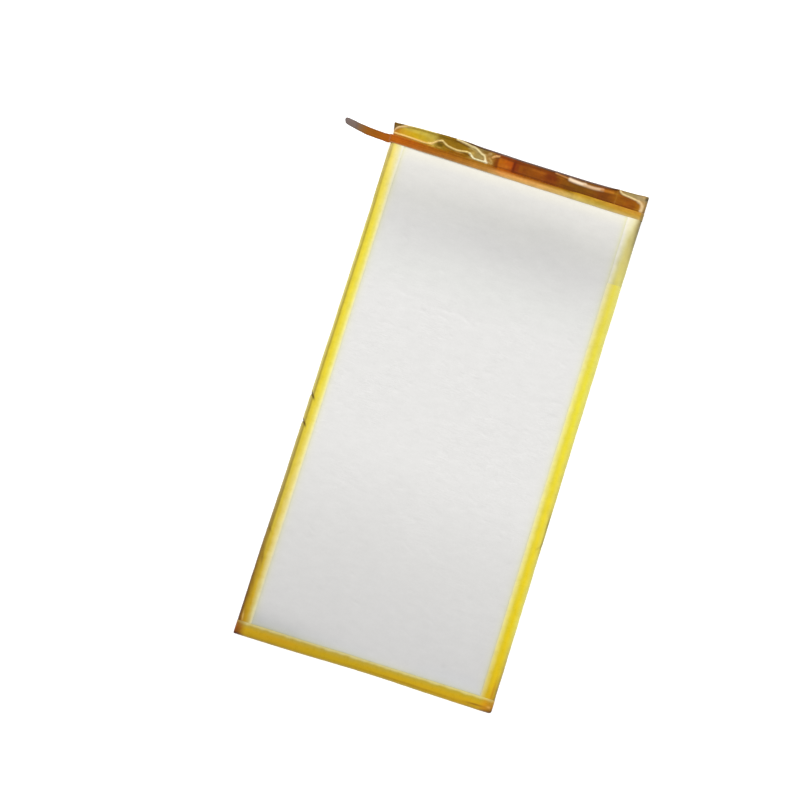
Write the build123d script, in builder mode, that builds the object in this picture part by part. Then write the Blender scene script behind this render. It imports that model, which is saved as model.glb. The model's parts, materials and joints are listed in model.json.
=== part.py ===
"""Flat lithium-polymer pouch cell with a terrace board and a short flex tail.

Lengths are millimetres. The cell lies on its back: +Z is the drawn face of the pouch,
+Y points to the terrace end, and the origin is the centre of the back face.
"""

import os
from math import cos, radians, sin

from build123d import *

# Overall cell
cell_width = 80.0
cell_length = 162.0
cell_height = 3.22
tape = 0.08
laminate = 0.11
half_width = cell_width / 2
half_length = cell_length / 2

# Pouch: a flat cover below and a drawn cup above, sealed around the rim
cover_top = tape + laminate
face_top = cell_height - tape
fold_gap = 0.10
fold_height = 1.90
cup_side = half_width - tape - 2 * laminate - fold_gap
cup_low_end = -half_length + tape + 2 * laminate + fold_gap
step = 76.1
cup_corner = 1.5
cup_edge = 1.0
fold_radius = 0.20

# Terrace: the wide seal that carries the board
terrace_side = 39.2
terrace_end = 80.2
recess_top = 2.66
flex_lift = 0.10
lip_start = 73.85

# Tabs through the terrace seal
tab_width = 5.0
tab_thickness = 0.08
tab_x = {"positive": 8.5, "negative": 26.5}
sealant = 0.06
sealant_margin = 1.0
channel_top = cover_top + 2 * sealant + tab_thickness
tab_level = cover_top + sealant + tab_thickness / 2
tab_return_level = tab_level + 0.60

# Wound roll: flattened spiral of four webs
roll_level = (cover_top + face_top - laminate) / 2
roll_start = 0.10
roll_pitch = 0.32
roll_turns = 3
roll_centre = 37.8
roll_near = -79.3
roll_far = 74.5
separator = 0.050
anode = 0.105
cathode = 0.105
web_gap = (roll_pitch - 2 * separator - anode - cathode) / 4

# Protection board
board_left = -10.0
board_right = 37.0
board_front = 76.75
board_back = 80.35
board_bottom = tab_return_level + tab_thickness / 2 + 0.15
board_thickness = 0.60
board_top = board_bottom + board_thickness
board_middle = (board_front + board_back) / 2

# Edge tapes
left_band = 3.2
right_band = 3.7
bottom_band = 3.7
tape_turn = 1.28
tape_heel = 0.36
right_overlap = 52.5
back_flap = 2.8

# Flex tail: three stiff lengths between bends, rising from the face
tail_middle = 74.95
tail_thickness = 0.14
tail_length = 4.8
tail_gap = 0.15
tail_start = -40.9
tail_level = face_top + flex_lift / 2
tail_rise = [8.0, 16.0, 24.0]
tail_width = [2.30, 2.15, 1.85, 1.50]


def save(piece, name):
    """Name a finished piece and write it beside the others."""
    piece.part.label = name
    export_step(piece.part, f"parts/{name}.step")


os.makedirs("parts", exist_ok=True)

# ---------------------------------------------------------------------------
# Pouch
# ---------------------------------------------------------------------------

with BuildPart() as cavity:
    with BuildSketch(Plane.XY.offset(cover_top)):
        with Locations((0, (cup_low_end + step) / 2)):
            RectangleRounded(
                2 * (cup_side - laminate),
                step - cup_low_end - 2 * laminate,
                cup_corner - laminate,
            )
    extrude(amount=face_top - cover_top - laminate)
    fillet(cavity.faces().sort_by(Axis.Z)[-1].edges(), radius=cup_edge - laminate)

with BuildPart() as pouch_cup:
    # drawn cavity, open underneath
    with BuildSketch(Plane.XY.offset(cover_top)):
        with Locations((0, (cup_low_end + step) / 2)):
            RectangleRounded(2 * cup_side, step - cup_low_end, cup_corner)
    extrude(amount=face_top - cover_top)
    fillet(pouch_cup.faces().sort_by(Axis.Z)[-1].edges(), radius=cup_edge)
    add(cavity.part, mode=Mode.SUBTRACT)
    # terrace rim, raised over each tab
    with BuildSketch(Plane.XY.offset(cover_top)):
        with Locations((0, (step - laminate + terrace_end) / 2)):
            Rectangle(2 * terrace_side, terrace_end - step + laminate)
    extrude(amount=laminate)
    for middle in tab_x.values():
        with BuildSketch(Plane.XY.offset(cover_top)):
            with Locations((middle, (step - laminate + terrace_end) / 2)):
                Rectangle(
                    tab_width + 2 * sealant_margin + 2 * laminate,
                    terrace_end - step + laminate,
                )
        extrude(amount=channel_top - cover_top + laminate)
        with BuildSketch(Plane.XY.offset(cover_top)):
            with Locations((middle, (step - laminate + terrace_end) / 2)):
                Rectangle(tab_width + 2 * sealant_margin, terrace_end - step + 3 * laminate)
        extrude(amount=channel_top - cover_top, mode=Mode.SUBTRACT)
    # side rims folded up against the walls
    with BuildSketch(Plane.XZ.offset(-step)):
        with BuildLine():
            FilletPolyline(
                (cup_side - laminate / 2, cover_top),
                (cup_side + fold_gap + laminate, cover_top),
                (cup_side + fold_gap + laminate, fold_height),
                radius=fold_radius,
            )
            offset(amount=laminate, side=Side.LEFT)
        make_face()
        mirror(about=Plane.YZ)
    extrude(amount=step + half_length - bottom_band)
    # lower rim folded up against the end
    with BuildSketch(Plane.YZ.offset(-cup_side + cup_corner)):
        with BuildLine():
            FilletPolyline(
                (cup_low_end + laminate / 2, cover_top),
                (cup_low_end - fold_gap - laminate, cover_top),
                (cup_low_end - fold_gap - laminate, fold_height),
                radius=fold_radius,
            )
            offset(amount=laminate, side=Side.RIGHT)
        make_face()
    extrude(amount=2 * (cup_side - cup_corner))
save(pouch_cup, "pouch_cup")

with BuildPart() as pouch_cover:
    # flat sheet under the cup with both sides folded up
    with BuildSketch(Plane.XZ.offset(-step)):
        with BuildLine():
            FilletPolyline(
                (0, tape),
                (half_width - tape, tape),
                (half_width - tape, fold_height),
                radius=fold_radius + laminate,
            )
            offset(amount=laminate, side=Side.LEFT)
        make_face()
        mirror(about=Plane.YZ)
    extrude(amount=step + half_length - bottom_band)
    # terrace end
    with BuildSketch(Plane.XY.offset(tape)):
        with Locations((0, (step + terrace_end) / 2)):
            Rectangle(2 * terrace_side, terrace_end - step)
    extrude(amount=laminate)
    # lower end folded up
    with BuildSketch(Plane.YZ.offset(-cup_side + cup_corner)):
        with BuildLine():
            FilletPolyline(
                (-half_length + bottom_band, tape),
                (-half_length + tape, tape),
                (-half_length + tape, fold_height),
                radius=fold_radius + laminate,
            )
            offset(amount=laminate, side=Side.RIGHT)
        make_face()
    extrude(amount=2 * (cup_side - cup_corner))
save(pouch_cover, "pouch_cover")

# ---------------------------------------------------------------------------
# Wound roll
# ---------------------------------------------------------------------------


def wound_web(first, thickness):
    """One web of the flattened spiral: arcs about two centres joined by straight runs."""
    with BuildPart() as web:
        with BuildSketch(Plane((0, roll_far, roll_level), (1, 0, 0), (0, -1, 0))):
            with BuildLine():
                for radius in (first, first + thickness):
                    Line((0, radius), (roll_centre, radius))
                    for turn in range(roll_turns + 1):
                        reach = radius + turn * roll_pitch
                        CenterArc((roll_centre, 0), reach, 90, -180)
                        Line((roll_centre, -reach), (-roll_centre, -reach))
                        if turn < roll_turns:
                            turned = reach + roll_pitch / 2
                            CenterArc((-roll_centre, roll_pitch / 2), turned, -90, -180)
                            Line((-roll_centre, reach + roll_pitch), (roll_centre, reach + roll_pitch))
                Line((0, first), (0, first + thickness))
                last = first + roll_turns * roll_pitch
                Line((-roll_centre, -last), (-roll_centre, -last - thickness))
            make_face()
        extrude(amount=roll_far - roll_near)
    return web


web_radius = roll_start
separator_inner = wound_web(web_radius, separator)
save(separator_inner, "separator_inner")
web_radius += separator + web_gap
anode_foil = wound_web(web_radius, anode)
save(anode_foil, "anode_foil")
web_radius += anode + web_gap
separator_outer = wound_web(web_radius, separator)
save(separator_outer, "separator_outer")
web_radius += separator + web_gap
cathode_foil = wound_web(web_radius, cathode)
save(cathode_foil, "cathode_foil")

with BuildPart() as roll_end_tape:
    # strip under the roll that holds down the last edge
    last_wrap = roll_level - web_radius - cathode - roll_turns * roll_pitch
    with BuildSketch(Plane.XY.offset(last_wrap - 0.03)):
        with Locations((-roll_centre + 5, (roll_near + roll_far) / 2)):
            Rectangle(12, roll_far - roll_near - 4)
    extrude(amount=0.03)
save(roll_end_tape, "roll_end_tape")

# ---------------------------------------------------------------------------
# Tabs and seal films
# ---------------------------------------------------------------------------


def bent_tab(middle):
    """Strip from the core of the roll, out through the terrace and back under the board."""
    with BuildPart() as tab:
        with BuildSketch(Plane.YZ.offset(middle - tab_width / 2)):
            with BuildLine():
                FilletPolyline(
                    (roll_far - 12, roll_level + tab_thickness / 2),
                    (75.4, roll_level + tab_thickness / 2),
                    (75.4, tab_level + tab_thickness / 2),
                    (80.56, tab_level + tab_thickness / 2),
                    (80.56, tab_return_level - tab_thickness / 2),
                    (board_front + 0.7, tab_return_level - tab_thickness / 2),
                    radius=0.24,
                )
                offset(amount=tab_thickness, side=Side.RIGHT)
            make_face()
        extrude(amount=tab_width)
    return tab


positive_tab = bent_tab(tab_x["positive"])
save(positive_tab, "positive_tab")
negative_tab = bent_tab(tab_x["negative"])
save(negative_tab, "negative_tab")

with BuildPart() as tab_sealant_films:
    with BuildSketch(Plane.XZ.offset(-terrace_end - 0.1)):
        with Locations(*[(middle, tab_level) for middle in tab_x.values()]):
            Rectangle(tab_width + 2 * sealant_margin, channel_top - cover_top)
            Rectangle(tab_width, tab_thickness, mode=Mode.SUBTRACT)
    extrude(amount=terrace_end - step - 0.3)
save(tab_sealant_films, "tab_sealant_films")

# ---------------------------------------------------------------------------
# Protection board
# ---------------------------------------------------------------------------

with BuildPart() as board_insulator:
    with BuildSketch(Plane.XY.offset(channel_top + laminate)):
        with Locations(((board_left + board_right) / 2, 78.35)):
            Rectangle(board_right - board_left + 1.6, 3.5)
    extrude(amount=0.06)
save(board_insulator, "board_insulator")

with BuildPart() as nickel_weld_plates:
    with BuildSketch(Plane.XY.offset(board_bottom - 0.15)):
        with Locations(*[(middle, board_middle) for middle in tab_x.values()]):
            RectangleRounded(4.4, 2.4, 0.3)
    extrude(amount=0.15)
save(nickel_weld_plates, "nickel_weld_plates")

with BuildPart() as circuit_board:
    with BuildSketch(Plane.XY.offset(board_bottom)):
        with Locations(((board_left + board_right) / 2, board_middle)):
            RectangleRounded(board_right - board_left, board_back - board_front, 0.4)
        with Locations((board_left + 1.6, board_middle), (board_right - 1.6, board_middle)):
            Circle(0.5, mode=Mode.SUBTRACT)
    extrude(amount=board_thickness)
save(circuit_board, "circuit_board")


def chips(places, size, height, corner):
    """Identical packages standing on the board."""
    with BuildPart() as group:
        with BuildSketch(Plane.XY.offset(board_top)):
            with Locations(*places):
                Rectangle(*size)
        extrude(amount=height)
        chamfer(group.faces().group_by(Axis.Z)[-1].edges(), length=corner)
    return group


protection_ic = chips([(4.6, board_middle)], (2.0, 1.8), 0.60, 0.08)
save(protection_ic, "protection_ic")
mosfet_pair = chips([(14.2, board_middle)], (3.2, 2.6), 0.78, 0.10)
save(mosfet_pair, "mosfet_pair")
chip_fuse = chips([(21.5, board_middle)], (3.0, 1.5), 0.55, 0.05)
save(chip_fuse, "chip_fuse")
resistor_places = [(0.9, 77.7), (0.9, 79.4), (8.0, 77.7), (8.0, 79.4)]
chip_resistors = chips(resistor_places, (1.0, 0.5), 0.35, 0.03)
save(chip_resistors, "chip_resistors")
capacitor_places = [(10.6, 77.8), (10.6, 79.3), (17.9, board_middle)]
chip_capacitors = chips(capacitor_places, (1.0, 0.6), 0.50, 0.05)
save(chip_capacitors, "chip_capacitors")
thermistor = chips([(26.0, board_middle)], (1.6, 0.8), 0.60, 0.05)
save(thermistor, "thermistor")

# ---------------------------------------------------------------------------
# Flex circuit
# ---------------------------------------------------------------------------

with BuildPart() as flex_strip:
    # pad on the board, riser over the step
    with BuildSketch(Plane.YZ.offset(-6.9)):
        with BuildLine():
            FilletPolyline(
                (80.2, board_top),
                (step + 0.07, board_top),
                (step + 0.07, face_top),
                (lip_start + 0.15, face_top),
                radius=[0.25, 1.05],
            )
            offset(amount=flex_lift, side=Side.RIGHT)
        make_face()
    extrude(amount=4.9)
    # run along the edge of the face to the corner
    with BuildSketch(Plane.XY.offset(face_top)):
        with BuildLine():
            Polyline(
                (-2.0, lip_start + 0.15),
                (-10.0, lip_start + 0.15),
                (-30.0, lip_start),
                (tail_start + tail_gap, lip_start),
                (tail_start + tail_gap, step),
                (-38.0, step + 0.05),
                (-30.0, step - 0.4),
                (-10.0, step - 0.9),
                (-2.0, step - 0.9),
                close=True,
            )
        make_face()
    extrude(amount=flex_lift)
save(flex_strip, "flex_strip")


def tail_plane(number):
    """Plane at a bend: x runs along the next length of ribbon, z is its upper normal."""
    across = tail_start
    up = tail_level
    for rise in tail_rise[:number]:
        across -= tail_length * cos(radians(rise))
        up += tail_length * sin(radians(rise))
    lean = radians(tail_rise[number])
    return Plane((across, tail_middle, up), (-cos(lean), 0, sin(lean)), (sin(lean), 0, cos(lean)))


def tail_piece(number):
    """Tapering length of ribbon between two bends."""
    with BuildPart() as ribbon:
        near = tail_width[number] / 2
        far = tail_width[number + 1] / 2
        with BuildSketch(tail_plane(number)):
            with BuildLine():
                Polyline(
                    (tail_gap, near),
                    (tail_length - tail_gap, far),
                    (tail_length - tail_gap, -far),
                    (tail_gap, -near),
                    close=True,
                )
            make_face()
        extrude(amount=tail_thickness / 2, both=True)
    return ribbon


tail_root = tail_piece(0)
save(tail_root, "tail_root")
tail_middle_length = tail_piece(1)
save(tail_middle_length, "tail_middle")
tail_tip = tail_piece(2)
save(tail_tip, "tail_tip")

tip_plane = tail_plane(2)
plug_centre = 2.5

with BuildPart() as tail_stiffener:
    with BuildSketch(tip_plane.offset(tail_thickness / 2)):
        with Locations((plug_centre, 0)):
            RectangleRounded(4.2, 1.5, 0.3)
    extrude(amount=0.15)
save(tail_stiffener, "tail_stiffener")

with BuildPart() as connector_housing:
    with BuildSketch(tip_plane.offset(-tail_thickness / 2)):
        with Locations((plug_centre, 0)):
            Rectangle(3.6, 1.3)
    extrude(amount=-0.55)
    # socket trench in the mating face
    with BuildSketch(tip_plane.offset(-tail_thickness / 2 - 0.55)):
        with Locations((plug_centre, 0)):
            Rectangle(2.6, 0.5)
    extrude(amount=0.35, mode=Mode.SUBTRACT)
save(connector_housing, "connector_housing")

with BuildPart() as connector_contacts:
    with BuildSketch(tip_plane.offset(-tail_thickness / 2)):
        with Locations((plug_centre, 0)):
            with GridLocations(0.6, 1.45, 4, 2):
                Rectangle(0.25, 0.15)
    extrude(amount=-0.40)
save(connector_contacts, "connector_contacts")

with BuildPart() as connector_holds:
    with BuildSketch(tip_plane.offset(-tail_thickness / 2)):
        with Locations((plug_centre, 0)):
            with GridLocations(3.75, 0, 2, 1):
                Rectangle(0.15, 0.9)
    extrude(amount=-0.45)
save(connector_holds, "connector_holds")

# ---------------------------------------------------------------------------
# Tapes and label
# ---------------------------------------------------------------------------


def side_profile(band, high):
    """Section of tape folded round the right-hand side, from the face to the back."""
    with BuildSketch(Plane.XZ.offset(-high)) as section:
        with BuildLine():
            FilletPolyline(
                (half_width - band, cell_height),
                (half_width, cell_height),
                (half_width, 0),
                (half_width - back_flap, 0),
                radius=[tape_turn, tape_heel],
            )
            offset(amount=tape, side=Side.RIGHT)
        make_face()
    return section.sketch


def side_tape(band, low, high, tail_end):
    """Folded tape, with a plain wall that runs on under the end tape where asked."""
    with BuildPart() as folded:
        extrude(side_profile(band, high), amount=high - low)
        if tail_end:
            with BuildSketch(Plane.YZ.offset(half_width - tape)):
                with Locations((low - bottom_band / 2 + 0.4, 1.2)):
                    Rectangle(bottom_band - 0.8, 1.4)
            extrude(amount=tape)
    return folded


edge_tape_right = side_tape(right_band, -half_length + bottom_band, right_overlap, True)
save(edge_tape_right, "edge_tape_right")
edge_tape_right_upper = side_tape(right_band, right_overlap, lip_start - 0.05, False)
save(edge_tape_right_upper, "edge_tape_right_upper")

with BuildPart() as edge_tape_left:
    mirrored = side_tape(left_band, -half_length + bottom_band, lip_start - 0.05, True)
    mirror(mirrored.part, about=Plane.YZ)
save(edge_tape_left, "edge_tape_left")

with BuildPart() as edge_tape_bottom:
    # wrapped over the lower end
    with BuildSketch(Plane.YZ.offset(-half_width)):
        with BuildLine():
            FilletPolyline(
                (-half_length + bottom_band, cell_height),
                (-half_length, cell_height),
                (-half_length, 0),
                (-half_length + back_flap, 0),
                radius=[tape_turn, tape_heel],
            )
            offset(amount=tape, side=Side.LEFT)
        make_face()
    extrude(amount=cell_width)
    # corners follow the rounded edges of the cell
    with BuildSketch(Plane.XZ.offset(half_length)):
        with Locations((0, cell_height / 2)):
            RectangleRounded(cell_width - 2 * tape, cell_height, tape_turn)
    extrude(amount=-bottom_band, mode=Mode.INTERSECT)
save(edge_tape_bottom, "edge_tape_bottom")


def terrace_profile(left, lip_top, crest):
    """Section of tape from the face, down over the board, round the end and under the back."""
    with BuildSketch(Plane.YZ.offset(left)) as section:
        with BuildLine():
            FilletPolyline(
                (lip_start, lip_top),
                (crest, lip_top),
                (crest + 0.5, recess_top),
                (half_length - 0.07, recess_top),
                (half_length - 0.07, 0),
                (half_length - 0.07 - back_flap, 0),
                radius=[0.3, 0.3, 0.4, 0.35],
            )
            offset(amount=tape, side=Side.RIGHT)
        make_face()
    return section.sketch


flex_end = -1.8

with BuildPart() as terrace_tape:
    # raised where it passes over the flex
    raised = terrace_profile(-half_width, cell_height + flex_lift, step + 0.25)
    extrude(raised, amount=half_width + flex_end)
    plain = terrace_profile(flex_end, cell_height, step + 0.15)
    extrude(plain, amount=half_width - flex_end)
    # folded ends
    for side in (-half_width, half_width - tape):
        with BuildSketch(Plane.YZ.offset(side)):
            with Locations(((step + 0.9 + half_length - 0.1) / 2, recess_top / 2)):
                Rectangle(half_length - 1.0 - step, recess_top - 0.5)
        extrude(amount=tape)
save(terrace_tape, "terrace_tape")

with BuildPart() as rating_label:
    with BuildSketch():
        with Locations((0, -6)):
            RectangleRounded(64, 112, 2)
    extrude(amount=tape)
save(rating_label, "rating_label")
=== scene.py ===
"""Looks of a flat pouch battery cell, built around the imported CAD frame."""

import json
import math
import random

import bmesh
import bpy
import numpy as np
from mathutils import Matrix, Vector, noise


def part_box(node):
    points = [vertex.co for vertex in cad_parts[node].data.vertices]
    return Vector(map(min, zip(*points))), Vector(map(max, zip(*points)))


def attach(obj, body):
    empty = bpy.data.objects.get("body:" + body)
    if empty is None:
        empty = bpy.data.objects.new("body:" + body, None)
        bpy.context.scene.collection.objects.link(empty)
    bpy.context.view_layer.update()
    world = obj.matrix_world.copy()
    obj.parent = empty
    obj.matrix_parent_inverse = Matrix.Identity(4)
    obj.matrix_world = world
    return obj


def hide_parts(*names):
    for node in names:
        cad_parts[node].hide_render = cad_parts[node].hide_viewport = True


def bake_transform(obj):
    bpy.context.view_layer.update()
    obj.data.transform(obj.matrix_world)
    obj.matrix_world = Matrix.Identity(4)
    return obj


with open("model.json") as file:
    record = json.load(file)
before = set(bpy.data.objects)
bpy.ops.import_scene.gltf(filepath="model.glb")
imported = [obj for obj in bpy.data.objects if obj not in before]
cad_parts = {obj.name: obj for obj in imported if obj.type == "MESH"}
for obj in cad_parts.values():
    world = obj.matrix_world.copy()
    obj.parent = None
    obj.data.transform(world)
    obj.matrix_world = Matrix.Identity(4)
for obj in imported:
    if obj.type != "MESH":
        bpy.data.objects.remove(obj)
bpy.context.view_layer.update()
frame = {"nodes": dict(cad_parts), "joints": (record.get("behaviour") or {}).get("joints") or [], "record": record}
nodes = frame["nodes"]
scene = bpy.context.scene
MM = 0.001


def box_mm(node):
    """Lowest and highest corner of a CAD node in millimetres."""
    low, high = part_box(node)
    return low / MM, high / MM


# Sizes read back from the frame, in millimetres
cup_low, cup_high = box_mm("pouch_cup")
cover_low, cover_high = box_mm("pouch_cover")
right_high = box_mm("edge_tape_right")[1]
upper_low = box_mm("edge_tape_right_upper")[0]
wrap_high = box_mm("terrace_tape")[1]
flex_low, flex_high = box_mm("flex_strip")
hinges = [Vector(joint["pos_m"]) / MM for joint in frame["joints"]]
hinges.sort(key=lambda spot: -spot.x)
face_z = cup_high.z
top_z = right_high.z
film = top_z - face_z
half_width = right_high.x
low_end = cover_low.y - film
back_flap = 2.8  # how far the tapes reach under the cell
lip_start = flex_low.y
step_y = lip_start + 2.25  # where the cup drops to the terrace
side_turn = 1.28  # radius of the tapes where they turn down a side
heel = 0.36  # radius where they turn in under the cell
film_grid = 0.4  # spacing of the cuts along an edge tape
end_x = 39.4  # where the terrace tape starts to turn down at either end
end_turn = 0.62  # radius of that turn

# --- Small helpers ---

GLOSS = 0.016
GAIN = 1.06


def reflectance(screen):
    """Scene-linear colour that shows as this screen colour, 0 to 255, under the studio light."""
    value = np.asarray(screen, float) / 255
    light = np.where(value <= 0.04045, value / 12.92, ((value + 0.055) / 1.055) ** 2.4)
    return np.maximum((light - GLOSS) / GAIN, 0.0012)


def ease(low, high, value):
    """Smooth step from 0 at low to 1 at high."""
    t = np.clip((value - low) / (high - low), 0.0, 1.0)
    return t * t * (3 - 2 * t)


def hump(value, centre, width):
    """Bell of height 1."""
    return np.exp(-(((value - centre) / width) ** 2))


def ramp(value, stops):
    """Number read off (position, number) stops."""
    return np.interp(value, [s[0] for s in stops], [s[1] for s in stops])


def toward(first, second, part):
    """Blend two colours, or a grid of colours and one colour, by a part from 0 to 1."""
    part = np.clip(np.asarray(part, float), 0, 1)[..., None]
    return first * (1 - part) + second * part


def stain(colour, tone, part):
    """Colours moved part of the way to one screen colour."""
    return toward(colour, reflectance(tone), part)


def woven(along, across, places, rows):
    """Colours over a band: rows of (position along, one screen colour for each place across)."""
    marks = [row[0] for row in rows]
    table = reflectance([row[1:] for row in rows])
    out = np.zeros(along.shape + (3,))
    for channel in range(3):
        strands = [np.interp(along, marks, table[:, k, channel]) for k in range(len(places))]
        strands = np.stack(strands, -1)
        slot = np.clip(np.searchsorted(places, across) - 1, 0, len(places) - 2)
        low, high = np.asarray(places)[slot], np.asarray(places)[slot + 1]
        part = np.clip((across - low) / (high - low), 0, 1)
        first = np.take_along_axis(strands, slot[..., None], -1)[..., 0]
        second = np.take_along_axis(strands, slot[..., None] + 1, -1)[..., 0]
        out[..., channel] = first + (second - first) * part
    return out


def ripple(x, y, seed, scale):
    """Smooth noise of about -1 to 1 over arrays of places."""
    x, y = np.broadcast_arrays(np.asarray(x, float), np.asarray(y, float))
    flat = [noise.noise(Vector((a, b, seed))) for a, b in zip(x.ravel() * scale, y.ravel() * scale)]
    return np.array(flat).reshape(x.shape)


def spaced(start, end, step):
    """Evenly spaced values from start to end."""
    return np.linspace(start, end, max(2, math.ceil(abs(end - start) / step) + 1))


def curve_through(points, per_span=6):
    """Catmull-Rom curve through points."""
    pts = np.array([points[0], *points, points[-1]], float)
    out = []
    for a, b, c, d in zip(pts, pts[1:], pts[2:], pts[3:]):
        for t in np.arange(per_span) / per_span:
            square, cube = 2 * a - 5 * b + 4 * c - d, 3 * b - a - 3 * c + d
            out.append(0.5 * (2 * b + (c - a) * t + square * t**2 + cube * t**3))
    out.append(pts[-1])
    return np.array(out)


def from_line(x, y, line):
    """Distance of each place from a polyline, and how far along it that is, 0 to 1."""
    best = np.full(x.shape, 1e9)
    place = np.zeros(x.shape)
    spans = len(line) - 1
    for i in range(spans):
        a, ab = line[i], line[i + 1] - line[i]
        t = np.clip(((x - a[0]) * ab[0] + (y - a[1]) * ab[1]) / max(ab @ ab, 1e-12), 0, 1)
        gap = np.hypot(x - a[0] - ab[0] * t, y - a[1] - ab[1] * t)
        nearer = gap < best
        best = np.where(nearer, gap, best)
        place = np.where(nearer, (i + t) / spans, place)
    return best, place


def rounded_path(corners, radii, runs, arc_steps=6):
    """Points along a polyline with rounded corners, with a fixed count on each run and arc."""
    pts = np.array(corners, float)
    start = pts[0]
    out = [start]
    for i in range(1, len(pts) - 1):
        back = (pts[i - 1] - pts[i]) / np.linalg.norm(pts[i - 1] - pts[i])
        ahead = (pts[i + 1] - pts[i]) / np.linalg.norm(pts[i + 1] - pts[i])
        half = math.acos(np.clip(back @ ahead, -1, 1)) / 2
        radius = radii[i - 1]
        first = pts[i] + back * radius / math.tan(half)
        last = pts[i] + ahead * radius / math.tan(half)
        centre = pts[i] + (back + ahead) / np.linalg.norm(back + ahead) * radius / math.sin(half)
        out += [start + (first - start) * k / runs[i - 1] for k in range(1, runs[i - 1] + 1)]
        spin = math.pi - 2 * half
        for k in range(1, arc_steps + 1):
            t = k / arc_steps
            arm = (first - centre) * math.sin((1 - t) * spin) + (last - centre) * math.sin(t * spin)
            out.append(centre + arm / math.sin(spin))
        start = last
    out += [start + (pts[-1] - start) * k / runs[-1] for k in range(1, runs[-1] + 1)]
    return np.array(out)


def link(name, mesh):
    """Object in the scene for a mesh given in millimetres."""
    mesh.transform(Matrix.Scale(MM, 4))
    mesh.shade_smooth()
    mesh.set_sharp_from_angle(angle=math.radians(50))
    obj = bpy.data.objects.new(name, mesh)
    scene.collection.objects.link(obj)
    return obj


def tint_layer(mesh, tints):
    """Give a mesh one colour for each point."""
    layer = mesh.color_attributes.new("tint", "FLOAT_COLOR", "POINT")
    layer.data.foreach_set("color", np.hstack([tints, np.ones((len(tints), 1))]).ravel())


def swept(stations, section):
    """Place along a sheet and the two coordinates of its section, for every point of its grid."""
    grid = np.array([section(place) for place in stations])
    return np.broadcast_to(stations[:, None], grid.shape[:2]), grid[..., 0].copy(), grid[..., 1].copy()


def shell(name, outer, inner, tints=None):
    """Closed thin sheet between two equal grids of points, with a colour for each point."""
    rows, cols = outer.shape[:2]
    verts = np.concatenate([outer.reshape(-1, 3), inner.reshape(-1, 3)])
    index = np.arange(rows * cols).reshape(rows, cols)
    under = index + rows * cols
    quads = [
        np.stack([index[:-1, :-1], index[1:, :-1], index[1:, 1:], index[:-1, 1:]], -1).reshape(-1, 4),
        np.stack([under[:-1, :-1], under[:-1, 1:], under[1:, 1:], under[1:, :-1]], -1).reshape(-1, 4),
    ]
    for top, low, turn in (
        (index[:, 0], under[:, 0], 1),
        (index[:, -1], under[:, -1], -1),
        (index[0], under[0], -1),
        (index[-1], under[-1], 1),
    ):
        quads.append(np.stack([top[:-1], low[:-1], low[1:], top[1:]], -1)[:, ::turn])
    mesh = bpy.data.meshes.new(name)
    mesh.from_pydata(verts.tolist(), [], np.concatenate(quads).tolist())
    if tints is not None:
        tint_layer(mesh, np.concatenate([tints.reshape(-1, 3)] * 2))
    return link(name, mesh)


def normals(grid):
    """Unit normals of a grid of points."""
    cross = np.cross(np.gradient(grid, axis=0), np.gradient(grid, axis=1))
    return cross / np.linalg.norm(cross, axis=-1, keepdims=True)


def lining(outer, depth):
    """Inner side of a tape, depth below its outer side and above the table."""
    inner = outer - normals(outer) * depth
    inner[..., 2] = np.maximum(inner[..., 2], 0.02)
    return inner


def stick(obj, body, material, slot, *replaced):
    """Ride a piece on a body, with its finish and the nodes that it stands for."""
    obj.data.materials.append(material)
    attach(obj, body)
    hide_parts(*replaced)


# --- Materials ---


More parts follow.
